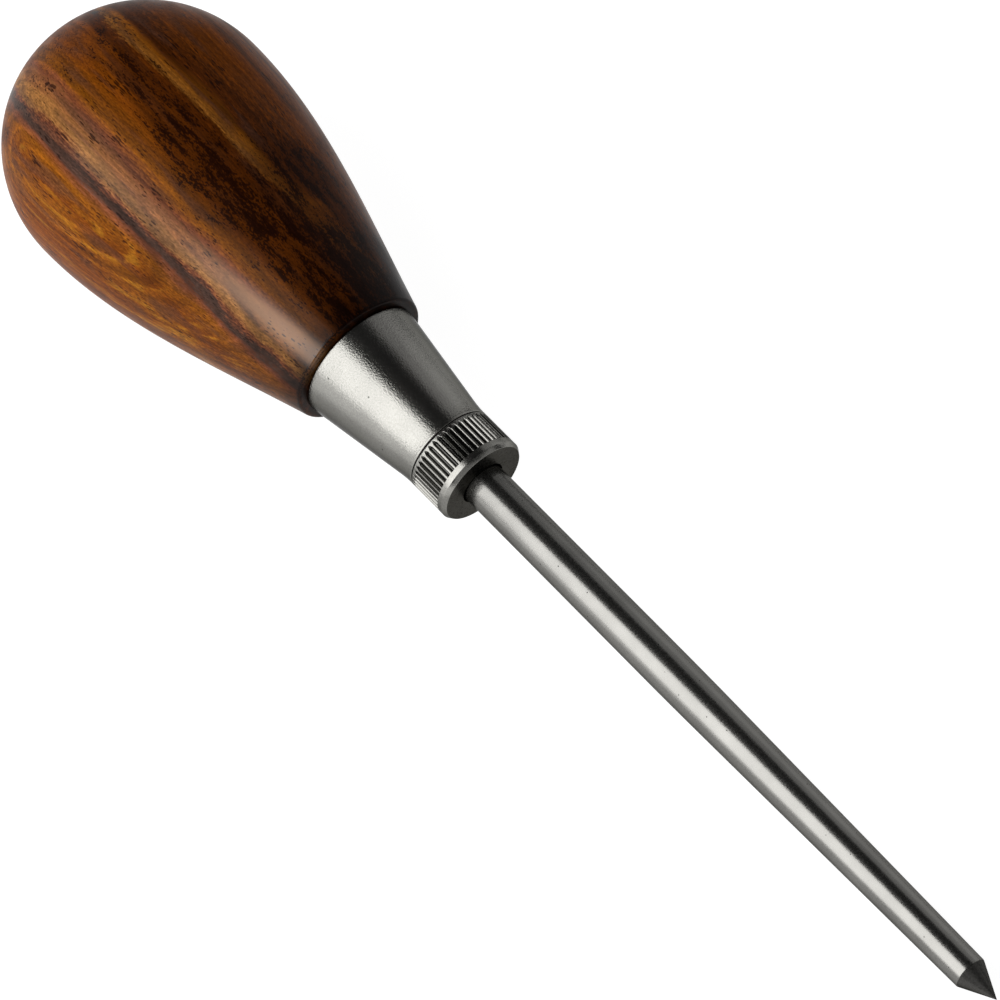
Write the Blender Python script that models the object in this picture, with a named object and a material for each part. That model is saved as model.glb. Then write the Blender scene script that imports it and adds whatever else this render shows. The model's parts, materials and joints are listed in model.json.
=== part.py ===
"""Caning awl: a turned palm handle with a finger-tightened chuck that holds a removable blade.

Every piece is turned about its own local Z axis, with +Z towards the point and z = 0 at the nut's
front face. One empty lays that axis down on a bench, where the awl rests on the belly of its handle
and on the shoulder of its point. Lengths are in metres.
"""

import math

import bmesh
import bpy
from mathutils import Matrix
from mathutils import Vector

MM = 0.001

# Blade: a round rod, parallel, then tapered, then ground to a cone
BLADE_RADIUS = 3.0 * MM
BLADE_PARALLEL = 39.5 * MM
BLADE_TAPER = 51.8 * MM
POINT_RADIUS = 2.33 * MM
POINT_LENGTH = 4.8 * MM
SHANK_CHAMFER = 0.4 * MM

# Clearances between neighbouring pieces
RUNNING_GAP = 0.2 * MM
SEAT_GAP = 0.2 * MM
PARTING_GAP = 0.15 * MM
MOUTH_GAP = 0.5 * MM

# Collet: a split sleeve with a coned head and a groove that the nut's lip holds
COLLET_WALL = 1.0 * MM
COLLET_HEAD_PROUD = 0.15 * MM
COLLET_HEAD_LENGTH = 0.3 * MM
COLLET_GROOVE_DEPTH = 0.45 * MM
COLLET_SLOT = 0.7 * MM
COLLET_RING = 2.0 * MM

# Chuck stem: a threaded nose, a cone trapped by the ferrule and a square tang in the wood
STEM_WALL = 0.85 * MM
STEM_FLOOR = 2.2 * MM
TANG_ROOT_WIDTH = 6.8 * MM
TANG_TIP_WIDTH = 3.2 * MM
TANG_LENGTH = 30.0 * MM

# Chuck nut: straight knurl, chamfered front, coned inside to close the collet
NUT_WALL = 1.02 * MM
NUT_WEB = 0.9 * MM
NUT_LIP = 0.6 * MM
NUT_RIM = 0.83 * MM
NUT_CHAMFER_LENGTH = 0.6 * MM
NUT_CHAMFER_DEPTH = 0.4 * MM
KNURL_TEETH = 48
KNURL_LENGTH = 5.05 * MM
KNURL_DEPTH = 0.25 * MM
KNURL_LAND = 0.3 * MM
KNURL_FLOOR = 0.3 * MM
KNURL_REAR_RIM = 0.2 * MM

# Ferrule: a tapered sleeve that levels off to the nut's size, a hair below it, where they meet
FERRULE_LENGTH = 17.8 * MM
FERRULE_FLARE = 2.4 * MM
FERRULE_BLEND = 2.5 * MM
NUT_PROUD = 0.02 * MM

# Handle: a half ellipsoid behind the belly and a long neck in front of it
BELLY_RADIUS = 19.58 * MM
DOME_LENGTH = 20.0 * MM
NECK_LENGTH = 43.5 * MM
NECK_END_SLOPE = -0.281
WOOD_RIM = 1.12 * MM
WOOD_EDGE = 0.3 * MM
TENON_LENGTH = 8.0 * MM

# Finishes: name, colour, roughness and metallic value
OILED_HARDWOOD = ("oiled_hardwood", (0.16, 0.05, 0.025), 0.35, 0.0)
SATIN_STEEL = ("satin_steel", (0.5, 0.49, 0.47), 0.3, 1.0)
TURNED_STEEL = ("turned_steel", (0.42, 0.41, 0.4), 0.35, 1.0)
HARDENED_STEEL = ("hardened_steel", (0.34, 0.33, 0.32), 0.3, 1.0)
KNURLED_STEEL = ("knurled_steel", (0.4, 0.39, 0.38), 0.32, 1.0)
GROUND_STEEL = ("ground_steel", (0.45, 0.44, 0.43), 0.28, 1.0)

# Facets: a flat, not a corner, faces down, so the awl stays where it is laid
ROUND_SIDES = 32
DOME_STEPS = 12
NECK_STEPS = 14
BLEND_STEPS = 4
MERGE_DISTANCE = 1e-7
SHARP_ANGLE = math.radians(30)
CUT_MARGIN = 1.0 * MM

# Radii, worked outwards from the blade
COLLET_BORE = BLADE_RADIUS + RUNNING_GAP
COLLET_RADIUS = COLLET_BORE + COLLET_WALL
COLLET_HEAD_RADIUS = COLLET_RADIUS + COLLET_HEAD_PROUD
COLLET_GROOVE_RADIUS = COLLET_RADIUS - COLLET_GROOVE_DEPTH
STEM_BORE = COLLET_RADIUS + RUNNING_GAP
NOSE_RADIUS = STEM_BORE + STEM_WALL
NUT_BORE = NOSE_RADIUS + RUNNING_GAP
NUT_RADIUS = NUT_BORE + NUT_WALL
NUT_MOUTH = BLADE_RADIUS + MOUTH_GAP
NUT_CAVITY = COLLET_HEAD_RADIUS + RUNNING_GAP
NUT_LIP_RADIUS = COLLET_GROOVE_RADIUS + RUNNING_GAP
FERRULE_FRONT_RADIUS = NUT_RADIUS - NUT_PROUD
FERRULE_REAR_RADIUS = FERRULE_FRONT_RADIUS + FERRULE_FLARE
FERRULE_FRONT_BORE = NUT_BORE
FERRULE_REAR_BORE = FERRULE_FRONT_BORE + FERRULE_FLARE
SHOULDER_RADIUS = FERRULE_REAR_RADIUS + WOOD_RIM

# Places along the axis, from the nut's front face backwards
NUT_RIM_FRONT = -NUT_CHAMFER_LENGTH
KNURL_FRONT = NUT_RIM_FRONT - NUT_RIM
NUT_REAR = KNURL_FRONT - KNURL_LENGTH
FERRULE_FRONT = NUT_REAR - PARTING_GAP
FERRULE_REAR = FERRULE_FRONT - FERRULE_LENGTH
SHOULDER = FERRULE_REAR - SEAT_GAP
TENON_END = SHOULDER + TENON_LENGTH
STEM_REAR = TENON_END + SEAT_GAP
STEM_BORE_END = STEM_REAR + STEM_FLOOR
SHANK_END = STEM_BORE_END + SEAT_GAP
BELLY = SHOULDER - NECK_LENGTH
NUT_CONE_FRONT = -NUT_WEB
NUT_CONE_REAR = NUT_CONE_FRONT - (NUT_CAVITY - NUT_MOUTH)
COLLET_FRONT = NUT_CONE_FRONT - RUNNING_GAP * math.sqrt(2)
COLLET_HEAD_FRONT = COLLET_FRONT - (COLLET_HEAD_RADIUS - NUT_MOUTH)
COLLET_GROOVE_FRONT = COLLET_HEAD_FRONT - COLLET_HEAD_LENGTH
NUT_LIP_FRONT = COLLET_GROOVE_FRONT - RUNNING_GAP
NUT_LIP_REAR = NUT_LIP_FRONT - NUT_LIP
COLLET_GROOVE_REAR = NUT_LIP_REAR - RUNNING_GAP
NOSE_FRONT = NUT_LIP_REAR - SEAT_GAP
TAPER_START = BLADE_PARALLEL
POINT_SHOULDER = TAPER_START + BLADE_TAPER
POINT_TIP = POINT_SHOULDER + POINT_LENGTH


def clear_scene():
    """Remove whatever the scene holds."""
    for item in list(bpy.data.objects):
        bpy.data.objects.remove(item, do_unlink=True)


def make_material(name, colour, roughness, metallic):
    """A plain material with one colour, roughness and metallic value."""
    material = bpy.data.materials.new(name)
    material.use_nodes = True
    shader = material.node_tree.nodes["Principled BSDF"]
    shader.inputs["Base Color"].default_value = (*colour, 1.0)
    shader.inputs["Roughness"].default_value = roughness
    shader.inputs["Metallic"].default_value = metallic
    return material


def mesh_object(name, shape, parent):
    """A named object from a bmesh, hung on the awl's axis."""
    mesh = bpy.data.meshes.new(name)
    shape.to_mesh(mesh)
    shape.free()
    item = bpy.data.objects.new(name, mesh)
    bpy.context.scene.collection.objects.link(item)
    item.parent = parent
    return item


def dress(item, finish):
    """Give a piece its finish and smooth shading up to its sharp edges."""
    item.data.materials.append(make_material(*finish))
    item.data.shade_smooth()
    item.data.set_sharp_from_angle(angle=SHARP_ANGLE)


def turned(name, outline, parent, sides=ROUND_SIDES, ring=False):
    """A piece spun about Z from an outline of (radius, z) points; a ring's outline closes on itself.

    The outline stands half a facet round from local X, which points down on the bench.
    """
    shape = bmesh.new()
    start = math.pi / sides
    points = []
    for radius, z in outline:
        points.append(shape.verts.new((radius * math.cos(start), radius * math.sin(start), z)))
    ends = points[1:] + points[:1] if ring else points[1:]
    edges = [shape.edges.new(pair) for pair in zip(points, ends)]
    bmesh.ops.spin(
        shape,
        geom=points + edges,
        axis=(0, 0, 1),
        cent=(0, 0, 0),
        angle=math.tau,
        steps=sides,
        use_merge=True,
    )
    bmesh.ops.remove_doubles(shape, verts=shape.verts, dist=MERGE_DISTANCE)
    bmesh.ops.recalc_face_normals(shape, faces=shape.faces)
    return mesh_object(name, shape, parent)


def add_prism(shape, lower, upper):
    """Add a closed block to a bmesh from two matching rows of corners."""
    bottom = [shape.verts.new(corner) for corner in lower]
    top = [shape.verts.new(corner) for corner in upper]
    shape.faces.new(bottom)
    shape.faces.new(top)
    count = len(bottom)
    for index in range(count):
        following = (index + 1) % count
        shape.faces.new((bottom[index], bottom[following], top[following], top[index]))


def square(width, z):
    """The four corners of a square across the axis."""
    half = width / 2
    return [(half, half, z), (-half, half, z), (-half, -half, z), (half, -half, z)]


def tool(name, shape, parent):
    """A cutter or a block to be joined: it is used by a Boolean and isn't a piece itself."""
    bmesh.ops.recalc_face_normals(shape, faces=shape.faces)
    item = mesh_object(name, shape, parent)
    item.hide_render = True
    item.display_type = "WIRE"
    return item


def combine(item, other, operation):
    """Cut or join two solids with a Boolean that stays on the piece."""
    modifier = item.modifiers.new(other.name, "BOOLEAN")
    modifier.operation = operation
    modifier.object = other


def between(low, high, steps):
    """Evenly spaced values from low to high, both ends included."""
    return [low + (high - low) * index / steps for index in range(steps + 1)]


def handle_outline():
    """The wood's outer outline from the butt to its shoulder.

    A quarter ellipse reaches the belly, and a cubic goes on from there: level at the belly, and
    falling at the neck's end slope where it meets the shoulder.
    """
    outline = []
    for angle in between(0.0, math.pi / 2, DOME_STEPS):
        outline.append((BELLY_RADIUS * math.sin(angle), BELLY - DOME_LENGTH * math.cos(angle)))
    for share in between(0.0, 1.0, NECK_STEPS)[1:]:
        fall = share * share * (3 - 2 * share)
        end_pull = share * share * (share - 1) * NECK_END_SLOPE * NECK_LENGTH
        radius = BELLY_RADIUS + (SHOULDER_RADIUS - BELLY_RADIUS) * fall + end_pull
        outline.append((radius, BELLY + NECK_LENGTH * share))
    return outline


def ferrule_bore_at(z):
    """The radius of the ferrule's tapered bore at a place along the axis."""
    return FERRULE_FRONT_BORE + FERRULE_FLARE * (FERRULE_FRONT - z) / FERRULE_LENGTH


def tang_block(name, parent, gap):
    """The square tapered tang, or the socket for it when it is grown by a gap."""
    shape = bmesh.new()
    root = STEM_REAR + CUT_MARGIN
    tip = STEM_REAR - TANG_LENGTH - gap
    add_prism(shape, square(TANG_TIP_WIDTH + 2 * gap, tip), square(TANG_ROOT_WIDTH + 2 * gap, root))
    return tool(name, shape, parent)


def make_handle(parent):
    """The turned handle, with a tapered tenon in the ferrule and a socket for the tang."""
    outline = handle_outline()
    outline[-1] = (outline[-1][0], SHOULDER - WOOD_EDGE)
    outline.append((SHOULDER_RADIUS - WOOD_EDGE, SHOULDER))
    outline.append((ferrule_bore_at(FERRULE_REAR) - RUNNING_GAP, SHOULDER))
    outline.append((ferrule_bore_at(TENON_END) - RUNNING_GAP, TENON_END))
    outline.append((0.0, TENON_END))
    handle = turned("handle", outline, parent)
    combine(handle, tang_block("tang_socket_cutter", parent, RUNNING_GAP), "DIFFERENCE")
    dress(handle, OILED_HARDWOOD)
    return handle


def make_ferrule(parent):
    """The tapered sleeve between the wood's shoulder and the nut.

    It is straight from the rear, and a parabola takes its slope to nothing over the blend in front.
    """
    slope = FERRULE_FLARE / (FERRULE_LENGTH - FERRULE_BLEND / 2)
    outline = [(FERRULE_FRONT_BORE, FERRULE_FRONT)]
    for back in between(0.0, FERRULE_BLEND, BLEND_STEPS):
        rise = slope * back * back / (2 * FERRULE_BLEND)
        outline.append((FERRULE_FRONT_RADIUS + rise, FERRULE_FRONT - back))
    outline.append((FERRULE_REAR_RADIUS, FERRULE_REAR))
    outline.append((FERRULE_REAR_BORE, FERRULE_REAR))
    ferrule = turned("ferrule", outline, parent, ring=True)
    dress(ferrule, SATIN_STEEL)
    return ferrule


def make_chuck_stem(parent):
    """The stem: bored nose, cone behind the ferrule's front edge, and the tang."""
    outline = [
        (0.0, STEM_BORE_END),
        (STEM_BORE, STEM_BORE_END),
        (STEM_BORE, NOSE_FRONT),
        (NOSE_RADIUS, NOSE_FRONT),
        (NOSE_RADIUS, FERRULE_FRONT),
        (ferrule_bore_at(STEM_REAR) - RUNNING_GAP, STEM_REAR),
        (0.0, STEM_REAR),
    ]
    stem = turned("chuck_stem", outline, parent)
    combine(stem, tang_block("tang_block", parent, 0.0), "UNION")
    dress(stem, TURNED_STEEL)
    return stem


def make_collet(parent):
    """The split sleeve: coned head, groove for the nut's lip, four jaws and a whole ring behind."""
    outline = [
        (COLLET_BORE, COLLET_FRONT),
        (NUT_MOUTH, COLLET_FRONT),
        (COLLET_HEAD_RADIUS, COLLET_HEAD_FRONT),
        (COLLET_HEAD_RADIUS, COLLET_GROOVE_FRONT),
        (COLLET_GROOVE_RADIUS, COLLET_GROOVE_FRONT),
        (COLLET_GROOVE_RADIUS, COLLET_GROOVE_REAR),
        (COLLET_RADIUS, COLLET_GROOVE_REAR),
        (COLLET_RADIUS, SHANK_END),
        (COLLET_BORE, SHANK_END),
    ]
    collet = turned("collet", outline, parent, ring=True)
    across = COLLET_HEAD_RADIUS + CUT_MARGIN
    half = COLLET_SLOT / 2
    for label, reach_x, reach_y in (("slot_cutter_a", across, half), ("slot_cutter_b", half, across)):
        shape = bmesh.new()
        corners = [(reach_x, reach_y), (-reach_x, reach_y), (-reach_x, -reach_y), (reach_x, -reach_y)]
        lower = [(x, y, SHANK_END + COLLET_RING) for x, y in corners]
        upper = [(x, y, COLLET_FRONT + CUT_MARGIN) for x, y in corners]
        add_prism(shape, lower, upper)
        combine(collet, tool(label, shape, parent), "DIFFERENCE")
    dress(collet, HARDENED_STEEL)
    return collet


def knurl_cutter(parent):
    """One block for each groove of the straight knurl: narrower at its floor, run out at the rear."""
    shape = bmesh.new()
    pitch = math.tau / KNURL_TEETH
    floor_radius = NUT_RADIUS * math.cos(pitch / 2) - KNURL_DEPTH
    top_radius = NUT_RADIUS + KNURL_DEPTH
    floor_half = KNURL_FLOOR / 2
    mouth_half = NUT_RADIUS * math.sin(pitch / 2) - KNURL_LAND / 2
    top_half = mouth_half + (mouth_half - floor_half) * (top_radius - NUT_RADIUS) / KNURL_DEPTH
    rear = NUT_REAR + KNURL_REAR_RIM
    run_out = top_radius - floor_radius
    floor = [
        Vector((floor_radius, -floor_half, rear + run_out)),
        Vector((floor_radius, floor_half, rear + run_out)),
        Vector((floor_radius, floor_half, KNURL_FRONT)),
        Vector((floor_radius, -floor_half, KNURL_FRONT)),
    ]
    top = [
        Vector((top_radius, -top_half, rear)),
        Vector((top_radius, top_half, rear)),
        Vector((top_radius, top_half, KNURL_FRONT)),
        Vector((top_radius, -top_half, KNURL_FRONT)),
    ]
    for index in range(KNURL_TEETH):
        turn = Matrix.Rotation(pitch * index, 3, "Z")
        add_prism(shape, [turn @ corner for corner in floor], [turn @ corner for corner in top])
    return tool("knurl_cutter", shape, parent)


def make_chuck_nut(parent):
    """The knurled ring that screws onto the stem's nose and closes the collet with its cone."""
    outline = [
        (NUT_MOUTH, 0.0),
        (NUT_RADIUS - NUT_CHAMFER_DEPTH, 0.0),
        (NUT_RADIUS, NUT_RIM_FRONT),
        (NUT_RADIUS, NUT_REAR),
        (NUT_BORE, NUT_REAR),
        (NUT_BORE, NUT_LIP_REAR),
        (NUT_LIP_RADIUS, NUT_LIP_REAR),
        (NUT_LIP_RADIUS, NUT_LIP_FRONT),
        (NUT_CAVITY, NUT_LIP_FRONT),
        (NUT_CAVITY, NUT_CONE_REAR),
        (NUT_MOUTH, NUT_CONE_FRONT),
    ]
    nut = turned("chuck_nut", outline, parent, sides=KNURL_TEETH, ring=True)
    combine(nut, knurl_cutter(parent), "DIFFERENCE")
    dress(nut, KNURLED_STEEL)
    return nut


def blade_outline():
    """The blade from the end of its shank to its tip."""
    return [
        (0.0, SHANK_END),
        (BLADE_RADIUS - SHANK_CHAMFER, SHANK_END),
        (BLADE_RADIUS, SHANK_END + SHANK_CHAMFER),
        (BLADE_RADIUS, TAPER_START),
        (POINT_RADIUS, POINT_SHOULDER),
        (0.0, POINT_TIP),
    ]


def make_blade(parent):
    """The removable blade."""
    blade = turned("blade", blade_outline(), parent)
    dress(blade, GROUND_STEEL)
    return blade


def bench_lean():
    """The angle by which the axis dips towards the point when the awl lies on a bench.

    The bench touches the point's shoulder and the ring of the handle that rises most steeply from it,
    both on a flat between two corners of the facets.
    """
    flat = math.cos(math.pi / ROUND_SIDES)
    rises = []
    for radius, z in handle_outline():
        rises.append(flat * (radius - POINT_RADIUS) / (POINT_SHOULDER - z))
    return math.atan(max(rises))


def lay_on_bench(axis, pieces):
    """Turn the awl's axis down onto the bench and centre the awl over the origin."""
    axis.rotation_euler = (0.0, math.pi / 2 + bench_lean(), 0.0)
    bpy.context.view_layer.update()
    corners = []
    for piece in pieces:
        for vertex in piece.data.vertices:
            corners.append(piece.matrix_world @ vertex.co)
    for index in (0, 1):
        values = [corner[index] for corner in corners]
        axis.location[index] = -(min(values) + max(values)) / 2
    axis.location[2] = -min(corner[2] for corner in corners)
    bpy.context.view_layer.update()


def main():
    """Build the awl."""
    clear_scene()
    axis = bpy.data.objects.new("awl_axis", None)
    bpy.context.scene.collection.objects.link(axis)
    makers = (make_handle, make_ferrule, make_chuck_stem, make_collet, make_chuck_nut, make_blade)
    pieces = [maker(axis) for maker in makers]
    lay_on_bench(axis, pieces)


main()
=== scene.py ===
"""Looks of a caning awl: oiled rosewood palm handle, satin ferrule, knurled chuck nut and ground blade.

Every piece is a surface turned about the awl's own axis. Sizes are in millimetres on that axis, with z
towards the point and z = 0 at the nut's front face, and AwlAxis lays them in the row frame in metres.
"""

import json
import logging
import math
from dataclasses import dataclass
from enum import Enum
from typing import Any, Iterable, Optional, Sequence

import bpy
import numpy as np
from bpy.types import Material, NodeTree, Object
from bpy.types import NodeSocket as Socket
from mathutils import Matrix, Vector


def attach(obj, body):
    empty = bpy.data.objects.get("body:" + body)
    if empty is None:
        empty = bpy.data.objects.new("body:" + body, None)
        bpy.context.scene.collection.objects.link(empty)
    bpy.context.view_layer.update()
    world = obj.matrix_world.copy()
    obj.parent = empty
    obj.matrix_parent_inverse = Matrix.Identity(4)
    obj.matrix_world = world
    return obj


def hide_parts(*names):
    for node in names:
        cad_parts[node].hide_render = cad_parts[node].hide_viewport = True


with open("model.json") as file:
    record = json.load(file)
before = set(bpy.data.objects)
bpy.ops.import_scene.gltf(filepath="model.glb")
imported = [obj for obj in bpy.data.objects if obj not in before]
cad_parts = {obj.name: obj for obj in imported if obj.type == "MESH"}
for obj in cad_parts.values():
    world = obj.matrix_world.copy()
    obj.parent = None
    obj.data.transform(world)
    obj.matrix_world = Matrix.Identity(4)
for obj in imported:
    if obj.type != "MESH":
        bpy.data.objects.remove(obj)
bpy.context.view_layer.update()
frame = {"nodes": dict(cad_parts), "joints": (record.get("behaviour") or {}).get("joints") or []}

LOG = logging.getLogger("caning_awl")
Triple = tuple[float, float, float]
MM = 0.001
WHITE = (1.0, 1.0, 1.0, 1.0)
SHARP_ANGLE = math.radians(32.0)
# The solids have 32 sides and rest on their flats, so a round piece that touches the bench is drawn a hair
# inside those flats.
INSIDE_FLATS = 0.999 * math.cos(math.pi / 32)


class Body(Enum):
    """The bodies that the new pieces ride on."""

    HAFT = "haft"
    NUT = "nut"
    BLADE = "blade"


class Tone(Enum):
    """Colours of oiled rosewood, from its light sapwood streaks to its black figure."""

    GOLD = "#9A6A1A"
    BUFF = "#85592E"
    HONEY = "#804F1C"
    AMBER = "#73400A"
    ROSE = "#7A4C2A"
    RUST = "#653206"
    RUSSET = "#673822"
    MAUVE = "#3D2A22"
    UMBER = "#451F04"
    EBONY = "#160603"


def linear_rgba(hex_colour: str, share: float = 1.0) -> tuple[float, float, float, float]:
    """Turn an sRGB hex colour into linear light.

    Args:
        hex_colour: Colour written as #RRGGBB.
        share: Share of its light that is kept.

    Returns:
        Red, green, blue and an alpha of one.
    """
    code = np.array([int(hex_colour[place : place + 2], 16) for place in (1, 3, 5)]) / 255.0
    light = np.where(code <= 0.04045, code / 12.92, ((code + 0.055) / 1.055) ** 2.4)
    return (*(float(share * channel) for channel in light), 1.0)


def feed(tree: NodeTree, node: Any, inputs: dict[Any, Any]) -> None:
    """Link or set the inputs of a node.

    Args:
        tree: Node tree that holds the node.
        node: The node.
        inputs: Socket name or number, with the socket to link or the value to set.
    """
    for key, value in inputs.items():
        if isinstance(value, Socket):
            tree.links.new(value, node.inputs[key])
        else:
            node.inputs[key].default_value = value


def add_node(tree: NodeTree, kind: str, inputs: dict[Any, Any], **settings: Any) -> Any:
    """Add one node with its settings and links.

    Args:
        tree: Node tree that takes the node.
        kind: Type of the node without its ShaderNode prefix.
        inputs: Socket name or number, with the socket to link or the value to set.
        **settings: Properties of the node itself.

    Returns:
        The output sockets of the new node.
    """
    node = tree.nodes.new("ShaderNode" + kind)
    for key, value in settings.items():
        setattr(node, key, value)
    feed(tree, node, inputs)
    return node.outputs


def new_tree(name: str) -> tuple[Material, NodeTree, Any]:
    """Start a material.

    Args:
        name: Name of the material.

    Returns:
        The material, its node tree and its Principled shader.
    """
    material = bpy.data.materials.new(name)
    material.use_nodes = True
    tree = material.node_tree
    return material, tree, tree.nodes["Principled BSDF"]


@dataclass(frozen=True)
class Ramp:
    """A level that goes over from one value to another while a guide rises.

    Attributes:
        start: Guide at which the change begins.
        stop: Guide at which it is complete.
        first: Level up to the start.
        last: Level from the stop on.
    """

    start: float
    stop: float
    first: float = 0.0
    last: float = 1.0

    def over(self, guide: Socket) -> dict[str, Any]:
        """Inputs of a Map Range node that runs over a guide."""
        limits = {"From Min": self.start, "From Max": self.stop, "To Min": self.first, "To Max": self.last}
        return {"Value": guide, **limits}


def tinted(tree: NodeTree, colour: Any, guide: Socket, ramp: Ramp) -> Socket:
    """Darken and lighten a colour, or its socket, by a ramp of its share over a noise or a place."""
    gain = add_node(tree, "MapRange", ramp.over(guide))[0]
    return add_node(tree, "VectorMath", {0: colour, "Scale": gain}, operation="SCALE")[0]


def blended(tree: NodeTree, colour: Socket, tone: Tone, guide: Socket, ramp: Ramp) -> Socket:
    """Blend a tone over a colour where a noise or a mask is high.

    Args:
        tree: Node tree of the material.
        colour: Colour socket under it.
        tone: Tone laid over it.
        guide: Socket of the noise or the mask.
        ramp: Cover of the tone over the guide.

    Returns:
        Colour socket.
    """
    share = add_node(tree, "MapRange", ramp.over(guide), interpolation_type="SMOOTHSTEP")[0]
    layers = {"Factor": share, 6: colour, 7: linear_rgba(tone.value)}
    return add_node(tree, "Mix", layers, data_type="RGBA")[2]


def shifted(tree: NodeTree, value: Socket, shifts: Iterable[tuple[Socket, float]]) -> Socket:
    """Shift a value by guides: value + sum of guide times reach.

    Args:
        tree: Node tree of the material.
        value: Socket of the value.
        shifts: Socket and reach of each guide.

    Returns:
        Socket of the shifted value.
    """
    for guide, reach in shifts:
        value = add_node(tree, "Math", {0: guide, 1: reach, 2: value}, operation="MULTIPLY_ADD")[0]
    return value


@dataclass(frozen=True)
class AwlAxis:
    """The line that every piece of the awl is turned about.

    Attributes:
        origin: Centre of the nut's front face in the row frame, in metres.
        along: Unit vector from there towards the point.
    """

    origin: np.ndarray
    along: np.ndarray

    @classmethod
    def from_joint(cls, joints: Sequence[dict[str, Any]], name: str) -> "AwlAxis":
        """Read the axis from a joint.

        Args:
            joints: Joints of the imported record.
            name: Joint that turns about the awl's axis.

        Returns:
            The axis through that joint's place.
        """
        joint = next(each for each in joints if each["name"] == name)
        along = np.array(joint["axis"], float)
        return cls(np.array(joint["pos_m"], float), along / np.linalg.norm(along))

    def basis(self, turn: float = 0.0) -> np.ndarray:
        """Directions of the awl's own frame.

        Args:
            turn: Angle of the first direction round from straight down, in radians.

        Returns:
            Columns: the first direction, the one a quarter turn on, and the axis.
        """
        across = np.array((0.0, 1.0, 0.0))
        down = np.cross(across, self.along)
        first = math.cos(turn) * down + math.sin(turn) * across
        second = math.cos(turn) * across - math.sin(turn) * down
        return np.column_stack((first, second, self.along))

    def place(self, radius: np.ndarray, turns: np.ndarray, height: np.ndarray) -> np.ndarray:
        """Points in metres for places in millimetres: origin + r cos(t) down + r sin(t) across + z along."""
        local = np.stack((radius * np.cos(turns), radius * np.sin(turns), height), axis=-1)
        return self.origin + MM * local @ self.basis().T

    def point(self, height: float) -> Vector:
        """A point on the axis at a height in millimetres."""
        return Vector(self.origin + MM * height * self.along)

    def pattern_space(self, tree: NodeTree, turn: float = 0.0) -> Socket:
        """Add the nodes that give a pattern its place on the awl, in millimetres.

        Args:
            tree: Node tree of the material.
            turn: Angle of the pattern's X round from straight down, in radians.

        Returns:
            The socket with X and Y across the axis and Z along it.
        """
        inputs = {
            "Vector": add_node(tree, "TexCoord", {})["Object"],
            "Location": self.origin,
            "Rotation": Matrix(self.basis(turn).tolist()).to_euler("XYZ"),
            "Scale": (MM, MM, MM),
        }
        return add_node(tree, "Mapping", inputs, vector_type="TEXTURE")[0]


def even_turns(sides: int) -> np.ndarray:
    """Evenly spaced angles once round the axis."""
    return np.arange(sides) * (math.tau / sides)


def square_radii(halves: Sequence[float], turns: np.ndarray) -> np.ndarray:
    """Radii of square sections, h / max(|cos t|, |sin t|), with a row for each half width h."""
    return np.array(halves)[:, None] / np.maximum(np.abs(np.cos(turns)), np.abs(np.sin(turns)))


def rounded_outline(corners: Sequence[Triple], steps: int = 4) -> np.ndarray:
    """Round the corners of an outline.

    Each corner c becomes the quadratic curve (1-t)^2 a + 2t(1-t) c + t^2 b, where a and b lie on the two
    legs at the corner's edge size from it. The first and last corners stay as they are.

    Args:
        corners: Radius, height and edge size of each corner in millimetres.
        steps: Spans of each curve.

    Returns:
        Rows of radius and height.
    """
    table = np.array(corners, float)
    spots = table[:, :2]
    legs = np.diff(spots, axis=0)
    legs /= np.linalg.norm(legs, axis=1, keepdims=True)
    middle = spots[1:-1, None, :]
    edge = table[1:-1, 2, None, None]
    share = np.linspace(0.0, 1.0, steps + 1)[None, :, None]
    start = middle - edge * legs[:-1, None, :]
    end = middle + edge * legs[1:, None, :]
    curves = (1 - share) ** 2 * start + 2 * share * (1 - share) * middle + share**2 * end
    return np.concatenate((spots[:1], curves.reshape(-1, 2), spots[-1:]))


def ring_outline(corners: Sequence[Triple]) -> np.ndarray:
    """Round every corner of an outline that closes on itself, anticlockwise with the radius to the right."""
    return rounded_outline([corners[-1], *corners, corners[0]])[1:-1]


def turned_piece(
    name: str, axis: AwlAxis, radius: np.ndarray, height: np.ndarray, turns: np.ndarray, ring: bool = False
) -> Object:
    """Make a closed surface on a grid: outline stations by angles round the axis.

    Point (i, j) lies at radius[i, j], turns[j] and height[i, j]. A ring's last station joins its first. In
    a solid the first and last stations lie on the axis, and each becomes one point.

    Args:
        name: Name of the piece.
        axis: Axis that the piece is turned about.
        radius: Radii in millimetres, a row for each station.
        height: Places along the axis in millimetres, in the same shape or one column.
        turns: Angles of the columns in radians.
        ring: Whether the outline closes on itself.

    Returns:
        The new object, at the origin, smooth up to its sharp edges.
    """
    shape = (radius.shape[0], turns.size)
    points = axis.place(np.broadcast_to(radius, shape), turns, np.broadcast_to(height, shape))
    grid = np.arange(points.size // 3).reshape(shape)
    if ring:
        grid = np.vstack((grid, grid[:1]))
    else:
        grid[[0, -1]] = grid[[0, -1], :1]
    after = np.roll(grid, -1, axis=1)
    quads = np.stack((grid[:-1], after[:-1], after[1:], grid[1:]), axis=-1)
    triangles = np.empty((0, 3), int)
    if not ring:
        triangles = np.concatenate((quads[0][:, [0, 2, 3]], quads[-1][:, [0, 1, 2]]))
        quads = quads[1:-1]
    corners = np.concatenate((quads.ravel(), triangles.ravel()))
    used, renumbered = np.unique(corners, return_inverse=True)
    faces = renumbered[: quads.size].reshape(-1, 4).tolist()
    faces += renumbered[quads.size :].reshape(-1, 3).tolist()
    mesh = bpy.data.meshes.new(name)
    mesh.from_pydata(points.reshape(-1, 3)[used].tolist(), [], faces)
    mesh.shade_smooth()
    mesh.set_sharp_from_angle(angle=SHARP_ANGLE)
    piece = bpy.data.objects.new(name, mesh)
    bpy.context.scene.collection.objects.link(piece)
    return piece


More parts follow.
